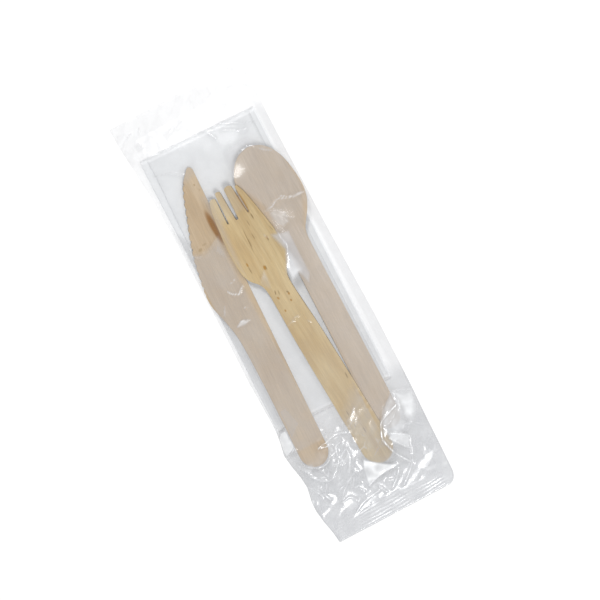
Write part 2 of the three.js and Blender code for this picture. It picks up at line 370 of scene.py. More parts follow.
def knife_press(x, y):
    """Veneer is never quite flat: the blade waves by a tenth or two of a millimetre."""
    return 0.12 * math.sin(y / 38) + 0.05 * math.sin(x / 6 + 1)


def spoon_press(x, y):
    """The handle rises gently towards the rim of the bowl, which is pressed in."""
    rise = BOWL_DEPTH * (y - SPOON_END) / (BOWL_Y - SPOON_END)
    away = (x / BOWL_HALF_WIDTH) ** 2 + ((y - BOWL_Y) / BOWL_HALF_LENGTH) ** 2
    return rise - BOWL_DEPTH * max(0.0, 1 - away) ** 1.3


def fork_press(x, y):
    """The head is pressed into a shallow trough that fades out at the neck."""
    f = min(max((y - FORK_NECK) / (FORK_DEEP - FORK_NECK), 0), 1)
    along = f * f * (3 - 2 * f)
    return -FORK_DISH * along * max(0.0, 1 - (x / FORK_TROUGH) ** 2) ** 1.2


knife = stamp_veneer("birch_knife", knife_outline(), knife_press)
place_on(knife, "knife", turn=-2.0)
spoon = stamp_veneer("birch_spoon", spoon_outline(), spoon_press)
place_on(spoon, "spoon", turn=-0.3)
fork = stamp_veneer("birch_fork", fork_outline(), fork_press)
place_on(fork, "fork", turn=3.0, roll=12.3, pitch=2.5)

# %% [markdown]
# ## Birch veneer
#
# Rotary-cut birch is pale, with long fine fibres, short darker flecks and soft clouds of
# colour. All three pieces share one group of nodes, which reads the flat veneer's UV map,
# stretches noise along the grain and puts out a colour, a roughness and a height. Each
# piece sets its own tone: the knife is browner, the fork yellower, the spoon pinker. Knots
# and dark splits in the fork are short stretched spots at listed places. Two such spots are
# painted shade: a golden shadow down the fork's third slot, and a brown shadow on the knife's
# back beside the fork's raised left edge.

# %% Helpers for node groups
def new_group(name, inputs, outputs):
    """A shader group with float, colour or vector sockets, given as {name: (type, value)}."""
    tree = bpy.data.node_groups.new(name, "ShaderNodeTree")
    for socket, (kind, value) in inputs.items():
        made = tree.interface.new_socket(socket, in_out="INPUT", socket_type=f"NodeSocket{kind}")
        if value is not None:
            made.default_value = value
    for socket, kind in outputs.items():
        tree.interface.new_socket(socket, in_out="OUTPUT", socket_type=f"NodeSocket{kind}")
    return tree, tree.nodes.new("NodeGroupInput"), tree.nodes.new("NodeGroupOutput")


def maths(tree, operation, a, b=None, clamp=False):
    """A Math node on sockets or numbers; returns its output."""
    node = tree.nodes.new("ShaderNodeMath")
    node.operation = operation
    node.use_clamp = clamp
    for socket, value in zip(node.inputs, (a, b)):
        if isinstance(value, bpy.types.NodeSocket):
            tree.links.new(value, socket)
        elif value is not None:
            socket.default_value = value
    return node.outputs[0]


def ranged(tree, value, low, high, to_low=0.0, to_high=1.0):
    """A Map Range node with a smooth step."""
    node = tree.nodes.new("ShaderNodeMapRange")
    node.interpolation_type = "SMOOTHSTEP"
    for name, number in (("From Min", low), ("From Max", high), ("To Min", to_low), ("To Max", to_high)):
        node.inputs[name].default_value = number
    tree.links.new(value, node.inputs["Value"])
    return node.outputs["Result"]


def blended(tree, factor, a, b, kind="MIX"):
    """A colour Mix node; a and b are sockets or colours."""
    node = tree.nodes.new("ShaderNodeMix")
    node.data_type = "RGBA"
    node.blend_type = kind
    for socket, value in ((node.inputs[0], factor), (node.inputs[6], a), (node.inputs[7], b)):
        if isinstance(value, bpy.types.NodeSocket):
            tree.links.new(value, socket)
        else:
            socket.default_value = value
    return node.outputs[2]


def stretched_noise(tree, vector, scale, stretch, detail=3.0, rough=0.55):
    """Noise that is stretched along y: stretch is how many times longer than wide."""
    mapping = tree.nodes.new("ShaderNodeMapping")
    mapping.inputs["Scale"].default_value = (scale, scale / stretch, scale)
    tree.links.new(vector, mapping.inputs["Vector"])
    node = tree.nodes.new("ShaderNodeTexNoise")
    node.inputs["Scale"].default_value = 1.0
    node.inputs["Detail"].default_value = detail
    node.inputs["Roughness"].default_value = rough
    tree.links.new(mapping.outputs[0], node.inputs["Vector"])
    return node.outputs["Fac"]


def stored(tree, name):
    """A value that the mesh stores at each point."""
    node = tree.nodes.new("ShaderNodeAttribute")
    node.attribute_name = name
    return node.outputs["Fac"]


def bumped(tree, height, strength, distance, shader):
    """Gives a shader's surface a height in mm by bump alone."""
    bump = tree.nodes.new("ShaderNodeBump")
    bump.inputs["Strength"].default_value = strength
    bump.inputs["Distance"].default_value = distance * MM
    tree.links.new(height, bump.inputs["Height"])
    tree.links.new(bump.outputs[0], shader.inputs["Normal"])


# %% The birch group
FLECK_BROWN = (0.33, 0.2, 0.09, 1)


def birch_group():
    """Colour, roughness and height of rotary-cut birch from a place on the veneer in metres."""
    tree, given, result = new_group(
        "birch_grain",
        {"Place": ("Vector", None), "Light": ("Color", (0.6, 0.5, 0.35, 1)),
         "Dark": ("Color", (0.5, 0.38, 0.24, 1)), "Flecks": ("Float", 1.0), "Seed": ("Float", 0.0)},
        {"Color": "Color", "Roughness": "Float", "Height": "Float"})
    shift = tree.nodes.new("ShaderNodeVectorMath")
    shift.operation = "ADD"
    seed = tree.nodes.new("ShaderNodeCombineXYZ")
    tree.links.new(given.outputs["Seed"], seed.inputs["Z"])
    tree.links.new(given.outputs["Place"], shift.inputs[0])
    tree.links.new(seed.outputs[0], shift.inputs[1])
    place = shift.outputs[0]
    clouds = stretched_noise(tree, place, 90, 3.5, detail=2)
    bands = stretched_noise(tree, place, 420, 22, detail=3)
    fibres = stretched_noise(tree, place, 2600, 30, detail=3, rough=0.65)
    flecks = stretched_noise(tree, place, 1500, 7, detail=1)
    tone = maths(tree, "ADD", maths(tree, "MULTIPLY", clouds, 0.9), maths(tree, "MULTIPLY", bands, 0.75))
    tone = ranged(tree, tone, 0.55, 1.1)
    colour = blended(tree, tone, given.outputs["Dark"], given.outputs["Light"])
    grain = ranged(tree, fibres, 0.35, 0.65, 0.9, 1.06)
    grey = tree.nodes.new("ShaderNodeCombineColor")
    for socket in grey.inputs[:3]:
        tree.links.new(grain, socket)
    colour = blended(tree, 1.0, colour, grey.outputs[0], "MULTIPLY")
    spots = maths(tree, "MULTIPLY", ranged(tree, flecks, 0.69, 0.78), given.outputs["Flecks"], clamp=True)
    colour = blended(tree, maths(tree, "MULTIPLY", spots, 0.35), colour, FLECK_BROWN)
    tree.links.new(colour, result.inputs["Color"])
    tree.links.new(ranged(tree, bands, 0.3, 0.7, 0.52, 0.7), result.inputs["Roughness"])
    pits = maths(tree, "MULTIPLY", spots, 0.5)
    height = maths(tree, "SUBTRACT", maths(tree, "MULTIPLY", fibres, 0.7), pits)
    tree.links.new(height, result.inputs["Height"])
    return tree


BIRCH = birch_group()
print("birch group:", len(BIRCH.nodes), "nodes")


# %% Marks in the wood
def mark_group():
    """A soft stretched spot: 1 at its middle, 0 outside its half width and half length."""
    tree, given, result = new_group(
        "wood_mark",
        {"Place": ("Vector", None), "Centre": ("Vector", (0, 0, 0)), "Half Width": ("Float", 0.0003),
         "Half Length": ("Float", 0.002), "Lean": ("Float", 0.0)},
        {"Mask": "Float"})
    away = tree.nodes.new("ShaderNodeVectorMath")
    away.operation = "SUBTRACT"
    tree.links.new(given.outputs["Place"], away.inputs[0])
    tree.links.new(given.outputs["Centre"], away.inputs[1])
    split = tree.nodes.new("ShaderNodeSeparateXYZ")
    tree.links.new(away.outputs[0], split.inputs[0])
    leaning = maths(tree, "MULTIPLY", split.outputs["Y"], given.outputs["Lean"])
    upright = maths(tree, "SUBTRACT", split.outputs["X"], leaning)
    across = maths(tree, "DIVIDE", upright, given.outputs["Half Width"])
    along = maths(tree, "DIVIDE", split.outputs["Y"], given.outputs["Half Length"])
    far = maths(tree, "ADD", maths(tree, "MULTIPLY", across, across), maths(tree, "MULTIPLY", along, along))
    tree.links.new(ranged(tree, far, 1.0, 0.15), result.inputs["Mask"])
    return tree


MARK = mark_group()

# Each mark: x, y in mm on the flat veneer, half width, half length, lean, strength.
# Mark colours: split brown, knot brown (also used for a painted shadow in the fork's third slot), and a
# painted-shadow brown for the knife.
SPLIT, KNOT_AND_SHADE_BROWN, PAINTED_SHADOW_BROWN = (0.22, 0.14, 0.04, 1), (0.34, 0.17, 0.012, 1), (0.24, 0.105, 0.01, 1)
FORK_MARKS = [
    (SPLIT, [(-1.6, 50.5, 0.3, 8.5, 0.11, 0.8), (-1.5, 48.5, 0.5, 3.0, 0.11, 0.45),
             (3.1, 57.5, 0.35, 2.2, 0.0, 0.6), (1.7, 50.5, 0.35, 2.1, 0.0, 0.65),
             (6.8, 59.6, 0.45, 2.1, 0.0, 0.9), (-8.6, 36.6, 0.35, 2.6, 0.0, 0.75),
             (-0.8, 33.6, 0.35, 1.6, 0.1, 0.8), (7.7, 45.6, 0.5, 1.2, 0.2, 0.8),
             (12.2, 49.5, 0.3, 2.2, -0.2, 0.5), (-3.2, 20.4, 0.5, 1.5, 0.25, 0.8),
             (-1.6, 19.6, 0.4, 1.7, 0.2, 0.6), (2.5, 17.6, 0.6, 1.0, -0.4, 0.85),
             (5.95, -33.8, 0.45, 2.2, 0.1, 0.8), (-3.8, -50.8, 0.4, 1.8, 0.0, 0.75),
             (-0.9, -55.3, 0.35, 1.8, -0.2, 0.7), (-3.9, -58.3, 0.35, 1.3, -0.2, 0.6),
             (-0.85, -62.3, 0.4, 2.0, 0.0, 0.75)]),
    (KNOT_AND_SHADE_BROWN, [(-1.5, 34.0, 0.9, 1.6, 0.1, 1.0), (-8.5, 39.7, 0.55, 1.4, 0.0, 0.95),
            (7.6, 46.6, 0.7, 1.1, 0.0, 0.7), (-3.4, 17.3, 0.6, 1.1, -0.2, 0.95),
            (2.6, 16.6, 0.65, 0.9, 0.1, 0.95), (1.8, 13.2, 0.6, 0.9, 0.0, 0.95),
            # The long last spot is painted shade: the golden shadow down the fork's third slot.
            (-3.6, 10.0, 0.6, 0.9, 0.0, 0.9), (6.3, 69.0, 1.5, 9.0, -0.03, 0.9)]),
]
KNIFE_MARKS = [(SPLIT, [(4.6, 73.4, 0.5, 0.8, 0.0, 0.6), (5.9, 70.0, 0.3, 1.0, 0.0, 0.4),
                        (-7.0, 42.3, 1.3, 1.1, 0.3, 0.45), (-4.0, 44.0, 1.5, 0.7, 0.3, 0.3)]),
               # Painted shadow: the brown shade on the knife's back beside the fork's raised left edge.
               (PAINTED_SHADOW_BROWN, [(4.3, 49.6, 2.2, 11.5, -0.06, 1.0)])]
print("marks in the wood:", sum(len(spots) for _, spots in FORK_MARKS + KNIFE_MARKS))


# %% Birch material
# The rim's dark brown: partly burnish of the cut, partly painted shade along left edges and in the fork's
# slots.
BURNISH_AND_SHADE_BROWN = (0.15, 0.095, 0.012, 1)


def birch(name, light, dark, marks, flecks, seed, burnish_and_shade):
    """Birch of one tone with its knots, splits and painted shade spots; reads the UV map and rim that
    stamping made.
    """
    material, tree, shader = new_material(name)
    uv = tree.nodes.new("ShaderNodeUVMap")
    uv.uv_map = "veneer"
    grain = tree.nodes.new("ShaderNodeGroup")
    grain.node_tree = BIRCH
    tree.links.new(uv.outputs[0], grain.inputs["Place"])
    grain.inputs["Light"].default_value = (*light, 1)
    grain.inputs["Dark"].default_value = (*dark, 1)
    grain.inputs["Flecks"].default_value = flecks
    grain.inputs["Seed"].default_value = seed
    colour, height = grain.outputs["Color"], grain.outputs["Height"]
    for tint, spots in marks:
        for x, y, half_width, half_length, lean, strength in spots:
            mark = tree.nodes.new("ShaderNodeGroup")
            mark.node_tree = MARK
            tree.links.new(uv.outputs[0], mark.inputs["Place"])
            mark.inputs["Centre"].default_value = (x * MM, y * MM, 0)
            mark.inputs["Half Width"].default_value = half_width * MM
            mark.inputs["Half Length"].default_value = half_length * MM
            mark.inputs["Lean"].default_value = lean
            mask = maths(tree, "MULTIPLY", mark.outputs["Mask"], strength)
            colour = blended(tree, mask, colour, tint)
            height = maths(tree, "SUBTRACT", height, mask)
    # Painted shade and burnish: the rim darkens to brown, most on the left-facing edges.
    rim_darkening = ranged(tree, stored(tree, "rim"), 0.4, 0.9, 0.0, burnish_and_shade)
    colour = blended(tree, rim_darkening, colour, BURNISH_AND_SHADE_BROWN)
    tree.links.new(colour, shader.inputs["Base Color"])
    tree.links.new(grain.outputs["Roughness"], shader.inputs["Roughness"])
    bumped(tree, height, 0.2, 0.1, shader)
    shader.inputs["Specular IOR Level"].default_value = 0.3
    return material


knife.data.materials.append(
    birch("birch_brown", (0.50, 0.39, 0.26), (0.42, 0.305, 0.18), KNIFE_MARKS,
          flecks=0.8, seed=0.3, burnish_and_shade=0.3))
spoon.data.materials.append(
    birch("birch_pink", (0.52, 0.42, 0.31), (0.45, 0.35, 0.24), (),
          flecks=0.4, seed=1.7, burnish_and_shade=0.2))
fork.data.materials.append(
    birch("birch_yellow", (0.55, 0.425, 0.225), (0.45, 0.315, 0.14), FORK_MARKS,
          flecks=1.0, seed=4.1, burnish_and_shade=0.95))

for piece, node, slot in ((knife, "knife", "birch_knife"), (spoon, "spoon", "birch_spoon"),
                          (fork, "fork", "birch_fork")):
    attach(piece, "root")
    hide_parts(node)

# %% [markdown]
# ## The folded napkin
#
# The napkin is one sheet of tissue, folded zigzag so that five panels lie on each other.
# A line that runs back and forth is its section; the mesh is that line given a thickness
# and carried along the napkin. No fold is quite true, so each edge wanders a little along
# the way, and each panel swells softly.

# %% Napkin
NAPKIN_LENGTH, NAPKIN_TURN = 155.0, -0.8
PLY, AIR = 0.36, 0.14  # thickness of a panel and of the air between two of them
LAYER = PLY + AIR
# Where the section starts, turns back and ends, in mm across, from the lowest panel up.
NAPKIN_EDGES = [-31.0, 31.9, -32.5, 31.2, -29.2, 28.6]
CREEP = 0.004  # each panel is shorter than the one below it by this share
SKEW = 0.018  # the ends aren't cut quite square: mm along for each mm across
THIN_LAYERS = 3.2  # up to this many layers the paper lets the table shine through


def napkin_section(y):
    """The middle line of the sheet at one place along the napkin, as (x, z) in mm."""
    def edge(i):
        """Where a fold or a cut edge lies: no fold is quite straight."""
        wander = noise.noise(Vector((i * 7.3, y / 45, 0.5))) * 0.7
        return NAPKIN_EDGES[i] + wander + 0.1 * math.sin(y / 9 + i * 2)

    def swell(x, i):
        """How far a panel bulges."""
        return 0.12 * noise.noise(Vector((x / 14, y / 22, i * 3.1)))

    radius = LAYER / 2
    line = []
    for panel in range(len(NAPKIN_EDGES) - 1):
        start, stop = edge(panel), edge(panel + 1)
        side = 1 if stop > start else -1
        z = PLY / 2 + panel * LAYER
        first = start + (side * (PLY + AIR / 2) if panel else 0)
        last_panel = panel == len(NAPKIN_EDGES) - 2
        last = stop - (0 if last_panel else side * (PLY + AIR / 2))
        for x in np.linspace(first, last, 26):
            line.append((x, z + swell(x, panel) * (0.4 + 0.15 * panel)))
        if not last_panel:
            for k in range(1, 6):
                angle = -math.pi / 2 + math.pi * k / 6
                line.append((last + side * radius * math.cos(angle), z + radius + radius * math.sin(angle)))
    return line


def make_napkin():
    """The closed sheet: both faces of the thick line, and its cut edges."""
    stations = np.linspace(-NAPKIN_LENGTH / 2, NAPKIN_LENGTH / 2, 90)
    rows_a, rows_b, verts = [], [], []
    for y in stations:
        line = np.array(napkin_section(float(y)))
        along = np.gradient(line, axis=0)
        along /= np.linalg.norm(along, axis=1)[:, None]
        normal = np.stack([-along[:, 1], along[:, 0]], axis=1) * PLY / 2
        along_y = y * (1 - CREEP * line[:, 1] / LAYER) - SKEW * line[:, 0]
        for rows, points in ((rows_a, line + normal), (rows_b, line - normal)):
            rows.append(range(len(verts), len(verts) + len(points)))
            verts += [(x, at, z) for (x, z), at in zip(points, along_y)]
    faces, count = [], len(rows_a[0])
    for i in range(len(stations) - 1):
        for k in range(count - 1):
            faces.append((rows_a[i][k], rows_a[i][k + 1], rows_a[i + 1][k + 1], rows_a[i + 1][k]))
            faces.append((rows_b[i][k], rows_b[i + 1][k], rows_b[i + 1][k + 1], rows_b[i][k + 1]))
        for k in (0, count - 1):
            faces.append((rows_a[i][k], rows_a[i + 1][k], rows_b[i + 1][k], rows_b[i][k]))
    smooth_faces = len(faces)
    for i in (0, len(stations) - 1):
        for k in range(count - 1):
            faces.append((rows_a[i][k], rows_b[i][k], rows_b[i][k + 1], rows_a[i][k + 1]))
    mesh = bpy.data.meshes.new("tissue_napkin")
    mesh.from_pydata(verts, [], faces)
    bm = bmesh.new()
    bm.from_mesh(mesh)
    bmesh.ops.recalc_face_normals(bm, faces=bm.faces[:])
    # Painted light: whiter where few panels lie, for the table shining through, and whitest along the cut
    # edges, to lift their shade.
    table_and_edge_light = bm.verts.layers.float.new("table_and_edge_light")
    cut_edges = {*rows_a[0], *rows_b[0], *rows_a[-1], *rows_b[-1]}
    for k, v in enumerate(bm.verts):
        v[table_and_edge_light] = 1.0 if k in cut_edges else max(0.0, 1 - v.co.z / (THIN_LAYERS * LAYER))
    for k, f in enumerate(bm.faces):
        f.smooth = k < smooth_faces
    bm.to_mesh(mesh)
    bm.free()
    return add_object("tissue_napkin", mesh)


napkin = make_napkin()
place_on(napkin, "napkin", turn=NAPKIN_TURN)

# %% [markdown]
# Tissue paper is matt and a little grey in the shade of the film. Along its sides, where
# only the lowest panels lie, it is painted whiter for the table's light shining through, and
# along its cut edges it is painted whiter still, to lift the shade there. Its crepe is a fine
# pattern of ripples across the sheet, which only bump needs to carry, over a faint mottling
# where the fibres lie thicker.


# %% Tissue material
TISSUE_THIN, TISSUE_THICK = (0.635, 0.645, 0.655, 1), (0.665, 0.675, 0.685, 1)
TISSUE_LIT = (0.9, 0.91, 0.92, 1)


def tissue():
    """Matt crepe paper; reads the painted light stored on the folded sheet."""
    material, tree, shader = new_material("tissue_paper")
    where = tree.nodes.new("ShaderNodeTexCoord").outputs["Object"]
    crepe = stretched_noise(tree, where, 700, 0.35, detail=2)
    mottle = stretched_noise(tree, where, 160, 1.0, detail=4)
    shade = ranged(tree, mottle, 0.35, 0.65)
    colour = blended(tree, shade, TISSUE_THIN, TISSUE_THICK)
    # Painted light from the table and on the cut edges.
    colour = blended(tree, stored(tree, "table_and_edge_light"), colour, TISSUE_LIT)
    tree.links.new(colour, shader.inputs["Base Color"])
    bumped(tree, crepe, 0.35, 0.15, shader)
    shader.inputs["Roughness"].default_value = 0.95
    shader.inputs["Specular IOR Level"].default_value = 0.1
    shader.inputs["Sheen Weight"].default_value = 0.15
    return material


napkin.data.materials.append(tissue())
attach(napkin, "root")
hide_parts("napkin")

# %% [markdown]
# ## The film's shape
#
# The film is a tube that was drawn tight round its contents and sealed at both ends. Its
# upper web stands on whatever lies highest and falls straight in between, like a tent.
# That is found on a grid: each point starts at the height of what is under it and is then
# relaxed towards the mean of its neighbours, but never below its support. Creases, sealed
# ribs and small crumples are added to that taut sheet afterwards.

# %% The film's outline, in mm
FILM_LEFT = [(-120.5, -32.3), (-114, -33.2), (-108, -34.6), (-101, -35.6), (-96, -35.5), (-88, -34.0),
             (-82, -34.6), (-75, -36.0), (-68.5, -36.9), (-62, -35.6), (-55, -34.7), (-35, -35.0),
             (-28, -35.4), (-15, -35.1), (10, -34.7), (40, -34.6), (60, -34.7), (78, -35.2),
             (95, -36.5), (110, -37.7), (120.5, -38.0)]
FILM_RIGHT = [(-120.5, 31.5), (-119.6, 33.4), (-118.0, 34.8), (-115.5, 35.7), (-100, 36.2), (-80, 36.7),
              (-69, 37.2), (-55, 37.5), (-25, 37.9), (0, 37.5), (30, 37.2), (80, 37.2), (120.5, 37.6)]
FILM_HALF, SEAL, SEAM_HEIGHT = 120.5, 11.0, 0.4
# Rows of the grid: how many lie between one place and the next, closest at the crumpled end.
# Rows and columns are both odd in number, since the lower web takes every second one.
ROW_STRETCHES = [(-FILM_HALF, -55, 140), (-55, 60, 170), (60, FILM_HALF, 86)]
COLUMNS = 141


def film_rows():
    """Places of the grid's rows along the pack."""
    stretches = [np.linspace(start, stop, count + 1)[1:] for start, stop, count in ROW_STRETCHES]
    return np.concatenate([[-FILM_HALF], *stretches])


ROWS = film_rows()
left_edge = np.interp(ROWS, *np.array(FILM_LEFT).T)
right_edge = np.interp(ROWS, *np.array(FILM_RIGHT).T)
ACROSS = np.linspace(0, 1, COLUMNS)
X = left_edge[:, None] + (right_edge - left_edge)[:, None] * ACROSS
Y = np.repeat(ROWS[:, None], COLUMNS, axis=1)
print("film grid:", X.shape, "points")


# %% What holds the film up
def support_height(pieces, clearance=0.2):
    """Height in mm of the contents under each grid point, with a little air above them."""
    height = np.full(X.shape, SEAM_HEIGHT)
    trees = []
    for piece in pieces:
        verts = [v.co / MM for v in piece.data.vertices]
        trees.append(BVHTree.FromPolygons(verts, [p.vertices for p in piece.data.polygons]))
    down = Vector((0, 0, -1))
    for (i, j), x in np.ndenumerate(X):
        start = Vector((x, Y[i, j], 50.0))
        hits = [tree.ray_cast(start, down)[0] for tree in trees]
        found = [hit.z for hit in hits if hit is not None]
        if found:
            height[i, j] = max(found) + clearance
    return height


def grown(height):
    """Each point takes the highest support next to it, so that the film clears every edge."""
    padded = np.pad(height, 1, mode="edge")
    shifts = [padded[a:a + height.shape[0], b:b + height.shape[1]] for a in range(3) for b in range(3)]
    return np.max(shifts, axis=0)


in_seal = np.abs(Y) > FILM_HALF - SEAL
support = grown(support_height([napkin, knife, spoon, fork]))
print("support, mm: highest", round(float(support.max()), 1))


# %% Draw the upper web tight
def tighten(support, swell, rounds=5000):
    """Relaxes a sheet over its supports; swell is how much the trapped air bulges it."""
    z = support.copy()
    dy = np.gradient(ROWS)[:, None]
    dx = ((right_edge - left_edge) / (COLUMNS - 1))[:, None]
    wx, wy = (1 / dx**2)[1:-1], (1 / dy**2)[1:-1]
    push = swell[1:-1, 1:-1]
    for _ in range(rounds):
        pulled = wx * (z[1:-1, 2:] + z[1:-1, :-2]) + wy * (z[2:, 1:-1] + z[:-2, 1:-1]) + push
        z[1:-1, 1:-1] = np.maximum(pulled / (2 * wx + 2 * wy), support[1:-1, 1:-1])
        z[in_seal] = SEAM_HEIGHT
    return z


# Air bulges the film over the cutlery, less over its heads, and past its ends the film sinks.
swell = np.select([Y < -97, Y > 100, Y > 55], [-0.03, -0.004, 0.002], 0.0045)
web = tighten(support, swell)
print("film height, mm: highest", round(float(web.max()), 1))

# %% [markdown]
# ## Creases and seal ribs
#
# A crease in film is a narrow ridge that turns white where the plastic was strained. Each
# one here is a path across the film with a height, a width and a whiteness, and its ridge
# is added to the taut sheet; the whiteness is partly strain and partly painted highlight.
# Facets are small patches of film painted white as highlights, where they would catch the
# light. The seals are crimped by ribbed jaws, so they carry rows of fine ribs, more or less clear.

# %% Creases, in mm: height, width, whiteness, path
CREASES = [
    # round the end of the knife
    (0.8, 0.42, 0.6, [(-30.5, -76), (-28.5, -79), (-25, -81.3), (-21, -81.9), (-17.5, -80.3), (-15.4, -77)]),
    (1.0, 0.5, 0.6, [(-31, -82.5), (-28, -86), (-24, -89.5), (-21, -90), (-18.5, -88.5),
                     (-15, -85), (-13, -82.5)]),
    (0.7, 0.5, 0.4, [(-23, -84), (-21.5, -89)]),
    (0.7, 0.5, 0.6, [(-12.5, -80.5), (-11.5, -76), (-9, -75)]),
    (0.6, 0.5, 0.5, [(-12, -82), (-8, -79.5)]),
    (0.8, 0.45, 0.7, [(-19.5, -72.6), (-17, -72), (-14, -71.6), (-9, -70.4), (-3, -72)]),
    (0.6, 0.35, 0.8, [(-19.5, -72.8), (-16, -73.6), (-12, -74)]),
    (0.8, 1.0, 0.35, [(-11.5, -91), (-8, -85), (-7, -82)]),
    (0.6, 0.7, 0.4, [(-30, -88), (-27, -94)]),
    (0.6, 0.7, 0.4, [(-28, -95), (-26.5, -99)]),
    (0.6, 0.5, 0.4, [(-20, -97), (-14, -94.6), (-12, -94.2)]),
    # between the handles and the lower seal
    (0.7, 0.4, 0.5, [(-10.5, -101), (-9, -103.5)]),
    (0.9, 0.5, 0.8, [(-20, -113), (-16, -110), (-12, -108), (-7, -107), (-2, -106.5)]),
    (0.8, 0.4, 0.6, [(-33, -76), (-29, -84), (-27.5, -87.5)]),
    (0.7, 0.4, 0.5, [(-13, -86), (-8, -82.5), (-7, -79.5)]),
    (0.6, 0.35, 0.5, [(-17, -79.5), (-12.5, -78), (-10, -75)]),
    (0.5, 0.35, 0.5, [(-14, -84), (-10.5, -81.5)]),
    (0.6, 0.4, 0.4, [(-33.5, -89), (-30, -93.5), (-29.5, -97)]),
    (0.6, 0.4, 0.45, [(-24.5, -91), (-27.5, -95.5)]),
    (0.6, 0.5, 0.35, [(-21, -101.5), (-16, -96.5), (-9, -92)]),
    (0.6, 0.4, 0.5, [(-21.5, -103.2), (-17, -102.5), (-14.5, -105.5)]),
    (0.8, 0.4, 0.75, [(4, -108.5), (7, -106.5), (10, -103.5), (11.5, -101.5)]),
    (0.6, 0.4, 0.5, [(-1.5, -104), (1, -109)]),
    (0.7, 0.4, 0.8, [(-5.5, -101.8), (-2, -100.6), (3, -99.4), (9, -99), (13, -98.7)]),
    # round the end of the fork and the spoon
    (1.2, 0.5, 1.0, [(19, -101), (17, -98), (14.5, -94), (12.5, -89), (11.5, -84.5), (11.8, -82), (13, -79),
                     (14.5, -76), (17, -74.5), (21, -73), (25.5, -71.5)]),
    (0.8, 0.4, 0.6, [(15.5, -78.6), (20.5, -77), (23.5, -74.5), (25.5, -71.5)]),
    (0.9, 0.4, 0.95, [(14.6, -84.5), (18, -89), (20.3, -93), (22, -94.3)]),
    (0.7, 0.4, 0.9, [(16.5, -83), (20, -85), (24.5, -88.8), (22.6, -93.5)]),
    (0.8, 0.7, 0.25, [(26, -64.5), (22, -67.5), (18, -71), (14.5, -76)]),
    (0.9, 0.5, 0.7, [(27, -64.5), (27.6, -70), (26.5, -74)]),
    (0.9, 0.5, 0.6, [(27, -64.5), (32, -66), (36.3, -68.5)]),
    (0.5, 0.5, 0.3, [(25, -82), (31, -85), (36, -89)]),
    (0.6, 0.9, 0.25, [(20, -101), (22, -96), (23.5, -92)]),
    (0.7, 0.6, 0.3, [(10, -110), (15, -106), (19, -102)]),
    # at the left edge, below the napkin
    (0.9, 0.5, 0.8, [(-36.4, -70), (-34, -69.3), (-30.5, -67)]),
    (0.6, 0.5, 0.5, [(-30.5, -56.5), (-30.3, -62), (-30.5, -67)]),
    # over the knife
    (0.6, 0.42, 0.8, [(-23, 19.2), (-21.5, 17), (-19.3, 15.7), (-18, 15.6), (-16.5, 17), (-14.7, 18)]),
    (0.5, 0.35, 0.75, [(-20, 21.8), (-17, 22.7)]),
    (0.5, 0.5, 0.2, [(-29.5, 42.5), (-27, 41), (-24, 42.6), (-20, 43), (-16, 45)]),
    (0.4, 0.8, 0.25, [(-28, 13), (-30, 9)]),
    (0.5, 0.45, 0.6, [(-26.5, 1.2), (-24, 2.4), (-21.5, 2.2), (-19.8, 1.1)]),
    (0.4, 0.4, 0.35, [(-19.5, 8.1), (-17.5, 7.4)]),
    # over the fork
    (0.4, 0.4, 0.4, [(-4.2, -10.2), (0, -9.6)]),
    (0.4, 0.4, 0.45, [(-1, -8.8), (3, -8.2)]),
    (0.4, 0.4, 0.4, [(6, -12.6), (7, -13.6)]),
    (0.4, 0.4, 0.45, [(6.6, 36.6), (7.2, 34.6), (8.2, 33.5)]),
    (0.5, 0.5, 0.35, [(13.2, 35), (13.8, 30), (14.6, 26), (13.6, 23.5)]),
    (0.15, 0.6, 0.2, [(0, -67), (3, -65.5), (6, -62.5)]),
    # over the spoon
    (0.7, 0.5, 0.4, [(12.5, 46), (17, 46.5), (21, 48.5), (25, 47.3), (29, 46), (35, 45.6)]),
    (0.6, 0.5, 0.4, [(23, 49.6), (28, 46.9), (34, 46.2)]),
    (0.5, 0.6, 0.25, [(15, 44), (18, 40), (19, 36)]),
    (0.5, 0.45, 0.4, [(23, 77.6), (27, 74), (30, 72)]),
    (0.4, 0.6, 0.2, [(18, 42), (22, 38), (24, 36.5)]),
    # over the napkin
    (0.5, 0.5, 0.35, [(13, 97), (19, 94), (25, 91), (29, 89.5)]),
    (0.4, 0.5, 0.3, [(13, 93), (19, 90)]),
    (0.5, 0.4, 0.9, [(19.5, 89), (22.5, 88.3), (25.5, 87.7)]),
    (0.4, 0.5, 0.45, [(4, 97), (9, 95.5)]),
    (0.4, 0.5, 0.4, [(5.5, 96), (8, 91)]),
    (0.5, 0.6, 0.35, [(-29, 88.5), (-21, 86), (-15, 81.5)]),
    # the upper end
    (0.6, 0.6, 0.5, [(-37, 109), (-33, 112), (-29.5, 113.5)]),
    (0.5, 0.5, 0.6, [(-26, 111.5), (-24, 114.5)]),
    (0.5, 0.5, 0.4, [(-13, 104.5), (-8, 106), (-3, 108)]),
]

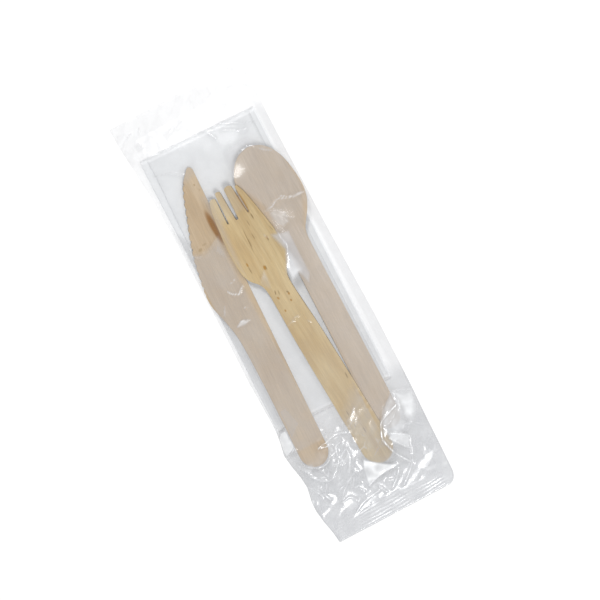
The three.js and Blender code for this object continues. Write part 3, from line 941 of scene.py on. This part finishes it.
# Facets painted white as highlights: whiteness, softness of the edge, corners.
FACETS = [
    (0.6, 0.7, [(-2, -88.5), (-4, -93), (-5, -99), (-5.4, -101.6), (3, -99.6), (12.5, -98.9),
                (7, -95.8), (0.5, -90.8)]),
    (0.7, 0.5, [(-35.5, -60), (-32.8, -57), (-30.3, -57), (-30.3, -66.5), (-36.4, -69.6)]),
    (0.4, 0.6, [(14.5, -84.5), (17, -83), (20, -85), (24.5, -88.5), (23, -91), (21.5, -94),
                 (18.5, -91), (16, -88)]),
    (0.1, 0.7, [(15, -76), (19, -74), (25, -71.8), (24.5, -73.5), (21, -76.5), (16.5, -78.8)]),
    (0.45, 0.7, [(21, -105.5), (26, -102), (31.8, -101), (30, -104), (25, -107.4), (23.5, -107)]),
    (0.65, 4.0, [(27.5, -65.5), (36.2, -68.8), (35, -76), (30, -82), (27.5, -78)]),
    (0.35, 1.2, [(-21.5, -103), (-17, -102.5), (-14.5, -105), (-16, -109), (-20, -108.5)]),
    (0.4, 0.8, [(-27.5, 0.8), (-24, 3.0), (-19.5, 1.0), (-23, 0.4)]),
    (0.2, 1.6, [(15, 43.5), (18, 45), (22, 40), (21, 36), (17.5, 35), (15.5, 38)]),
    (0.25, 1.2, [(-6.5, 15), (-1.5, 20), (-2.2, 12), (-3.2, 10.5)]),
    (0.45, 0.8, [(-37.3, -98), (-35.2, -97.5), (-33.5, -95.5), (-35, -94.8)]),
    (0.3, 3.0, [(9, 8), (8.5, 14), (11.5, 19.5), (13.5, 23), (15, 12), (12.5, 8)]),
    (0.28, 2.5, [(25, -66.5), (20, -70), (16, -75), (14, -81), (17, -84.5), (24, -83), (27, -76)]),
    (0.3, 4.0, [(-35.5, -70), (-31, -70), (-31, -78), (-34.5, -80)]),
    (0.3, 1.2, [(-30.5, 107.5), (-27.5, 108), (-26.5, 104.5), (-30, 104)]),
]


# %% Measures on the grid
def distance_to_path(path):
    """Distance in mm of every grid point from a path."""
    best = np.full(X.shape, 1e9)
    for (x0, y0), (x1, y1) in zip(path, path[1:]):
        ex, ey = x1 - x0, y1 - y0
        t = np.clip(((X - x0) * ex + (Y - y0) * ey) / (ex * ex + ey * ey), 0, 1)
        best = np.minimum(best, np.hypot(X - x0 - t * ex, Y - y0 - t * ey))
    return best


def inside_facet(corners, softness):
    """1 inside a facet, falling to 0 over its soft edge."""
    inside = np.zeros(X.shape, bool)
    for (x0, y0), (x1, y1) in zip(corners, corners[1:] + corners[:1]):
        crosses = (y0 > Y) != (y1 > Y)
        inside ^= crosses & (X < (x1 - x0) * (Y - y0) / (y1 - y0 + 1e-12) + x0)
    away = distance_to_path(corners + corners[:1])
    return np.clip(0.5 + np.where(inside, away, -away) / softness, 0, 1)


def field(scale_x, scale_y, seed):
    """Smooth noise over the grid, about -1 to 1."""
    flat = [noise.noise(Vector((x / scale_x, y / scale_y, seed))) for x, y in zip(X.flat, Y.flat)]
    return np.array(flat).reshape(X.shape)


def folded(scale_x, scale_y, seed):
    """Noise that is folded over at its middle, so that it makes sharp lines: about -1 to 1."""
    return 1 - 2 * np.abs(field(scale_x, scale_y, seed)) ** 0.8


def ramp(values, start, width):
    """0 up to start, then rising to 1 over a width; a negative width makes it rise downwards."""
    return np.clip((values - start) / width, 0, 1)


# %% Lay the facets and creases on the grid
RIDGE_REACH, WHITE_REACH = 1.4, 0.6  # as shares of a crease's width
STEPS_PER_BEND = 6

uneven = np.clip(0.75 + 0.9 * field(2.5, 2.5, 11.0), 0.25, 1)
glint = 0.75 + 0.45 * folded(7, 6, 21.0)
ridges = np.zeros(X.shape)
white = np.zeros(X.shape)
# Whiteness per point: strain along creases and seal ribs, and painted highlights on creases, facets and
# folds.
for whiteness, softness, corners in FACETS:
    white = np.maximum(white, whiteness * glint * inside_facet(corners, softness))
for height, width, whiteness, path in CREASES:
    fine = smooth_curve(path, STEPS_PER_BEND * (len(path) - 1)) if len(path) > 2 else path
    away = distance_to_path(fine)
    ridges = np.maximum(ridges, height * np.exp(-away / (width * RIDGE_REACH)))
    white = np.maximum(white, whiteness * uneven * np.exp(-(away / (WHITE_REACH * width)) ** 2))
print("creases:", len(CREASES), "facets:", len(FACETS))


# %% Crumple the ends
CRUMPLES, CRUMPLE_SEED = 900, 5
CRUMPLED_HALF_WIDTH = 40  # a little wider than the film
TILT = 0.13  # how steep a crumple's plane usually is
FOLD_WIDTH, SHARPNESS = 0.45, 2.2  # white along a fold, and how sharply two planes meet
LEAN_X, LEAN_Y, LEAN_SQUEEZE = 0.8, 0.6, 0.62  # crumples are longer along one slant than across it


def crumple_planes(count, seed):
    """Small tilted planes that meet in straight folds: their height, their folds, their tones."""
    pick = np.random.default_rng(seed)
    across = pick.uniform(-CRUMPLED_HALF_WIDTH, CRUMPLED_HALF_WIDTH, count)
    places = np.stack([across, pick.uniform(-FILM_HALF, FILM_HALF, count)], axis=1)
    tilts = pick.normal(0, TILT, (count, 2))
    tones = pick.uniform(-1, 1, count)
    nearest, second = np.full(X.shape, 1e9), np.full(X.shape, 1e9)
    total, height, tone = np.zeros(X.shape), np.zeros(X.shape), np.zeros(X.shape)
    for (px, py), (tx, ty), cell_tone in zip(places, tilts, tones):
        dx, dy = X - px, Y - py
        away = np.hypot(dx * LEAN_X - dy * LEAN_Y, LEAN_SQUEEZE * (dx * LEAN_Y + dy * LEAN_X))
        second = np.minimum(second, np.maximum(nearest, away))
        nearest = np.minimum(nearest, away)
        share = np.exp(-SHARPNESS * away)
        total += share
        height += share * (tx * dx + ty * dy)
        tone += share * cell_tone
    return height / total, np.exp(-((second - nearest) / FOLD_WIDTH) ** 2), tone / total


# The handles' end is crumpled most and the heads' end less; the right side is calmer.
lower_end = ramp(Y, -58, -25)
upper_end = ramp(Y, 92, 14)
crushed, fold_lines, crumple_tone = crumple_planes(CRUMPLES, CRUMPLE_SEED)
busy = np.clip(0.5 + 1.6 * field(15, 13, 31.0), 0.1, 1) * np.clip((20 - X) / 20, 0.35, 1)
lit_folds = np.clip(field(4.5, 4.5, 17.0) * 3.0, 0, 1)
# Painted highlights along the crumples' folds, where a random field says they would catch the light.
white = np.maximum(white, 0.42 * fold_lines * lit_folds * (lower_end * busy + 0.22 * upper_end))
# Film that lies on wood or paper can't crumple as deeply as film over air.
loose = 0.1 + 0.9 * lower_end + 0.45 * upper_end
over_air = np.clip(1.4 - support / 3, 0.15, 1)
ripple = (0.25 * folded(10, 8, 1.0) + 0.05 * folded(4.2, 3.4, 5.0) + 0.75 * crushed * over_air) * loose
print("crumples, mm: deepest", round(float(-ripple.min()), 2), "highest", round(float(ripple.max()), 2))

# %% Where the seals are ribbed
RIB_PITCH, RIB_DEPTH = 1.6, 0.04

sealed = ramp(np.abs(Y), FILM_HALF - SEAL, 2.5)
rib_shift = 0.9 * field(14, 14, 3.0) + 0.25 * field(4, 4, 8.0) - 0.03 * X
rib_wave = np.sin(2 * math.pi * (Y + rib_shift) / RIB_PITCH)
# The jaws bit best near the middle, and along the last few millimetres on the right.
crimped = np.maximum(np.exp(-((X + 4) / 15) ** 4), np.exp(-((X - 22) / 7) ** 4) * (Y < -114))
rib_share = sealed * np.clip(0.5 + 1.6 * field(9, 6, 9.0), 0, 1) * (0.25 + 0.75 * crimped)
# In the lower seal the crests of the ribs are strained white.
low_seal = ramp(Y, -109, -1.5)
rib_line = np.clip(rib_wave * 1.6 - 0.5, 0, 1) * low_seal * crimped
white = np.maximum(white, 0.5 * rib_line * np.clip(0.45 + 2.0 * field(5, 3, 7.0), 0, 1))

# %% Heights of the two webs
RIDGE_SHARE = 0.9
LOWER_WEB, LOWER_LIFT, LOWEST, LEAST_GAP = 0.1, 0.14, 0.02, 0.06

free = np.clip(web - support, 0.2, 1)
edge = np.minimum(1, np.minimum(ACROSS, 1 - ACROSS)[None, :] * (COLUMNS - 1) / 3)
upper_z = web + (ridges * RIDGE_SHARE + ripple * free) * (1 - sealed)
upper_z = np.maximum(upper_z, support)
upper_z = SEAM_HEIGHT + (upper_z - SEAM_HEIGHT) * edge
lower_z = LOWER_WEB + 0.08 * field(16, 13, 2.0) * edge + LOWER_LIFT * sealed
lower_z = np.maximum(lower_z, LOWEST)
upper_z = np.maximum(upper_z, lower_z + LEAST_GAP)
print("webs, mm: lowest", round(float(lower_z.min()), 2), "highest", round(float(upper_z.max()), 2))

# %% [markdown]
# ## Haze
#
# Film seems clear where it lies against something and milky where air is behind it or
# where it is crumpled, because it then mirrors the grey of the room. So each point of the
# film stores a haze, which paints that reflection as a grey veil: it grows towards the
# crumpled lower end, and there are a few milky fields over the cutlery with edges where the
# film leaves the wood. A tone is stored too, for the grey of the haze; it is darker past the
# handles' ends, as painted shade.

# %% Milky fields, in mm: haze, softness of the edge, corners
HAZY = [
    # over the napkin beside the knife, and over the knife below its blade
    (0.30, 3.0, [(-33.5, 60), (-28, 50), (-30, 44), (-25, 41.5), (-20, 43), (-14, 46),
                 (-14.5, 20), (-12.5, -70), (-33.5, -70)]),
    # beside the tip of the knife
    (0.22, 4.0, [(-16.5, 86), (-5, 88), (-9, 79), (-18, 77)]),
    # over the spoon
    (0.27, 2.5, [(8, 82), (22, 84), (34, 70), (36, 50), (27, 30), (27, -63), (26, -64), (13, -76), (13, 30),
                 (14, 48), (6, 66)]),
    # at the end of the spoon's handle, and right of the fork's neck, where it also lifts the shade of the
    # gap as painted light
    (0.46, 1.5, [(26, -64.5), (22, -67.5), (18, -71), (14.5, -76), (12, -82), (16, -86),
                 (26, -86), (28, -70)]),
    (0.60, 2.0, [(10, 34), (19, 32), (18.5, 8), (15.6, 3), (13.6, 11), (9, 9), (9, 15), (13, 24)]),
    # small milky patches on the knife and the fork
    (0.40, 2.5, [(-29, -46), (-24, -46), (-21.5, -57), (-30, -64)]),
    (0.40, 2.0, [(-19.5, 40), (-16, 44), (-14.5, 38), (-15.2, 32)]),
    (0.25, 3.0, [(-12, 66), (-7, 66), (-9, 50), (-11, 22), (-13, 30)]),
    (0.18, 4.0, [(-13, 68), (6, 69), (5, 52), (-12, 50)]),
]

# %% How hazy each web is
HEAD_HAZE, HANDLE_HAZE, PAST_HANDLES_HAZE = 0.065, 0.1, 0.18
TOP_HAZE, BARE_HAZE = 0.055, 0.14
UNDER_HAZE, UNDER_CRUMPLED_HAZE = 0.07, 0.31

# The milky end starts at the end of the knife's handle and climbs across the fork's handle.
past_ends = np.clip((-72 - Y + 0.9 * np.maximum(X + 14, 0) * (X < 12)) / 10, 0, 1)
haze = HEAD_HAZE + HANDLE_HAZE * ramp(Y, 20, -60) + PAST_HANDLES_HAZE * past_ends
for amount, softness, corners in HAZY:
    haze = np.maximum(haze, amount * inside_facet(corners, softness))
haze *= 1 + 0.15 * field(8, 10, 4.0) + 0.28 * crumple_tone * lower_end
# Right of the napkin the film lies on the table alone.
bare_right = ramp(X, 31.5, 2) * ramp(Y, 102, -6)
haze = np.maximum(haze, BARE_HAZE * bare_right)
# Above the napkin the film is clearer, and most so on the right.
above_napkin = ramp(Y, 92, 8)
top_haze = TOP_HAZE * (1 + 0.8 * np.clip(-X / 30, -1, 1)) * (1 + 0.5 * crumple_tone)
haze = np.clip(haze * (1 - above_napkin) + top_haze * above_napkin, 0.015, 0.7)
under_haze = UNDER_HAZE + UNDER_CRUMPLED_HAZE * ramp(Y, -50, -10) * (1 + 0.2 * field(11, 9, 14.0))
under_haze = np.maximum(under_haze, BARE_HAZE * bare_right)
upper_tone = 1 - 0.45 * past_ends
print("haze from", round(float(haze.min()), 2), "to", round(float(haze.max()), 2))


# %% Build the film
def film_faces(rows, columns):
    """Faces of the fine upper web, of the lower web at half its fineness, and of the walls."""
    def upper(i, j):
        """The number of a point of the upper web."""
        return i * columns + j

    def lower(i, j):
        """The number of a point of the lower web, which has every second row and column."""
        return rows * columns + (i // 2) * ((columns + 1) // 2) + j // 2

    faces = []
    for i in range(rows - 1):
        for j in range(columns - 1):
            faces.append((upper(i, j), upper(i, j + 1), upper(i + 1, j + 1), upper(i + 1, j)))
    for i in range(0, rows - 1, 2):
        for j in range(0, columns - 1, 2):
            faces.append((lower(i + 2, j), lower(i + 2, j + 2), lower(i, j + 2), lower(i, j)))
    for i in range(0, rows - 1, 2):
        for j, start, stop in ((0, i, i + 2), (columns - 1, i + 2, i)):
            faces.append((upper(start, j), upper(i + 1, j), upper(stop, j), lower(stop, j), lower(start, j)))
    for j in range(0, columns - 1, 2):
        for i, start, stop in ((0, j + 2, j), (rows - 1, j, j + 2)):
            faces.append((upper(i, start), upper(i, j + 1), upper(i, stop), lower(i, stop), lower(i, start)))
    return faces


def make_film():
    """One closed skin: the upper web and the lower web, joined all round."""
    rows, columns = X.shape
    half = (slice(None, None, 2), slice(None, None, 2))
    upper = np.stack([X, Y, upper_z], axis=-1).reshape(-1, 3)
    lower = np.stack([X[half], Y[half], lower_z[half]], axis=-1).reshape(-1, 3)
    mesh = bpy.data.meshes.new("clear_film")
    mesh.from_pydata((np.concatenate([upper, lower]) * MM).tolist(), [], film_faces(rows, columns))
    mesh.shade_smooth()
    none = np.zeros(X.shape)
    fields = {"haze": (haze, under_haze), "strain_glint": (white, none), "tone": (upper_tone, none),
              "rib_share": (rib_share, rib_share), "rib_shift": (rib_shift * MM, rib_shift * MM)}
    for name, (top, bottom) in fields.items():
        layer = mesh.attributes.new(name, "FLOAT", "POINT")
        values = np.concatenate([top.ravel(), bottom[half].ravel()])
        layer.data.foreach_set("value", values.astype(np.float32))
    print("film faces:", len(mesh.polygons))
    return add_object("clear_film", mesh)


film = make_film()


# %% Film material
HAZE_SHADED, HAZE_PLAIN = (0.52, 0.535, 0.56, 1), (0.59, 0.59, 0.605, 1)
# Near-white for creases: partly strain whitening, partly painted highlight.
STRAIN_AND_HIGHLIGHT_WHITE = (0.86, 0.87, 0.88, 1)


def clear_film():
    """Glossy clear film: mostly see-through, milky with haze, white along creases partly from strain and
    partly as painted highlight.
    """
    material, tree, shader = new_material("clear_film")
    where = tree.nodes.new("ShaderNodeTexCoord").outputs["Object"]
    cloud = stretched_noise(tree, where, 220, 1.5, detail=2)
    milky = maths(tree, "MULTIPLY", stored(tree, "haze"), ranged(tree, cloud, 0.3, 0.7, 0.96, 1.04))
    strain_glint_mask = stored(tree, "strain_glint")
    grey = blended(tree, stored(tree, "tone"), HAZE_SHADED, HAZE_PLAIN)
    # Creases and facets turn near-white: partly strain, partly painted highlight.
    colour = blended(tree, maths(tree, "MULTIPLY", strain_glint_mask, 1.6, clamp=True), grey, STRAIN_AND_HIGHLIGHT_WHITE)
    alpha = maths(tree, "ADD", milky, maths(tree, "MULTIPLY", strain_glint_mask, 0.8), clamp=True)
    tree.links.new(colour, shader.inputs["Base Color"])
    tree.links.new(alpha, shader.inputs["Alpha"])
    bumped(tree, cloud, 0.12, 0.2, shader)
    shader.inputs["Roughness"].default_value = 0.18
    shader.inputs["IOR"].default_value = 1.5
    shader.inputs["Specular IOR Level"].default_value = 0.6
    shader.inputs["Coat Weight"].default_value = 0.5
    shader.inputs["Coat Roughness"].default_value = 0.08
    return material


# %% [markdown]
# The jaws that seal the ends leave rows of ribs, which follow a rule: the same small wave
# over and over. Geometry Nodes lift each point of the film by a sine of its place along the
# pack. The share that a point takes and the wobble of the rows are stored on the mesh, and
# both webs move together, since they were crimped together.


# %% Crimp the seals
def crimp_tree():
    """Nodes that lift the film's points by a wave along the pack; returns them and the inputs."""
    tree = bpy.data.node_groups.new("crimped_seal", "GeometryNodeTree")
    sockets = {}
    kinds = {"Geometry": "Geometry", "Pitch": "Float", "Depth": "Float", "Film": "Material"}
    for name, kind in kinds.items():
        sockets[name] = tree.interface.new_socket(name, in_out="INPUT", socket_type=f"NodeSocket{kind}")
    tree.interface.new_socket("Geometry", in_out="OUTPUT", socket_type="NodeSocketGeometry")
    given, result = tree.nodes.new("NodeGroupInput"), tree.nodes.new("NodeGroupOutput")
    place = tree.nodes.new("ShaderNodeSeparateXYZ")
    tree.links.new(tree.nodes.new("GeometryNodeInputPosition").outputs[0], place.inputs[0])
    kept = {}
    for name in ("rib_shift", "rib_share"):
        node = tree.nodes.new("GeometryNodeInputNamedAttribute")
        node.data_type = "FLOAT"
        node.inputs["Name"].default_value = name
        kept[name] = node.outputs["Attribute"]
    along = maths(tree, "ADD", place.outputs["Y"], kept["rib_shift"])
    angle = maths(tree, "MULTIPLY", maths(tree, "DIVIDE", along, given.outputs["Pitch"]), 2 * math.pi)
    height = maths(tree, "MULTIPLY", maths(tree, "SINE", angle), given.outputs["Depth"])
    offset = tree.nodes.new("ShaderNodeCombineXYZ")
    tree.links.new(maths(tree, "MULTIPLY", height, kept["rib_share"]), offset.inputs["Z"])
    lifted = tree.nodes.new("GeometryNodeSetPosition")
    real = tree.nodes.new("GeometryNodeRealizeInstances")
    dressed = tree.nodes.new("GeometryNodeSetMaterial")
    tree.links.new(offset.outputs[0], lifted.inputs["Offset"])
    tree.links.new(given.outputs["Geometry"], lifted.inputs["Geometry"])
    tree.links.new(lifted.outputs[0], real.inputs[0])
    tree.links.new(real.outputs[0], dressed.inputs["Geometry"])
    tree.links.new(given.outputs["Film"], dressed.inputs["Material"])
    tree.links.new(dressed.outputs[0], result.inputs[0])
    return tree, sockets


def crimp(piece, pitch, depth, material):
    """Runs the nodes on a piece and keeps the plain mesh that they make."""
    modifier = piece.modifiers.new("crimp", "NODES")
    modifier.node_group, sockets = crimp_tree()
    modifier[sockets["Pitch"].identifier] = pitch
    modifier[sockets["Depth"].identifier] = depth
    modifier[sockets["Film"].identifier] = material
    evaluated = piece.evaluated_get(bpy.context.evaluated_depsgraph_get())
    mesh = bpy.data.meshes.new_from_object(evaluated)
    piece.modifiers.clear()
    piece.data = mesh
    heights = [v.co.z / MM for v in mesh.vertices if abs(v.co.y) > (FILM_HALF - SEAL) * MM]
    print("seal ribs, mm: film from", round(min(heights), 2), "to", round(max(heights), 2))


crimp(film, RIB_PITCH * MM, RIB_DEPTH * MM, clear_film())
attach(film, "root")
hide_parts("film_pouch")
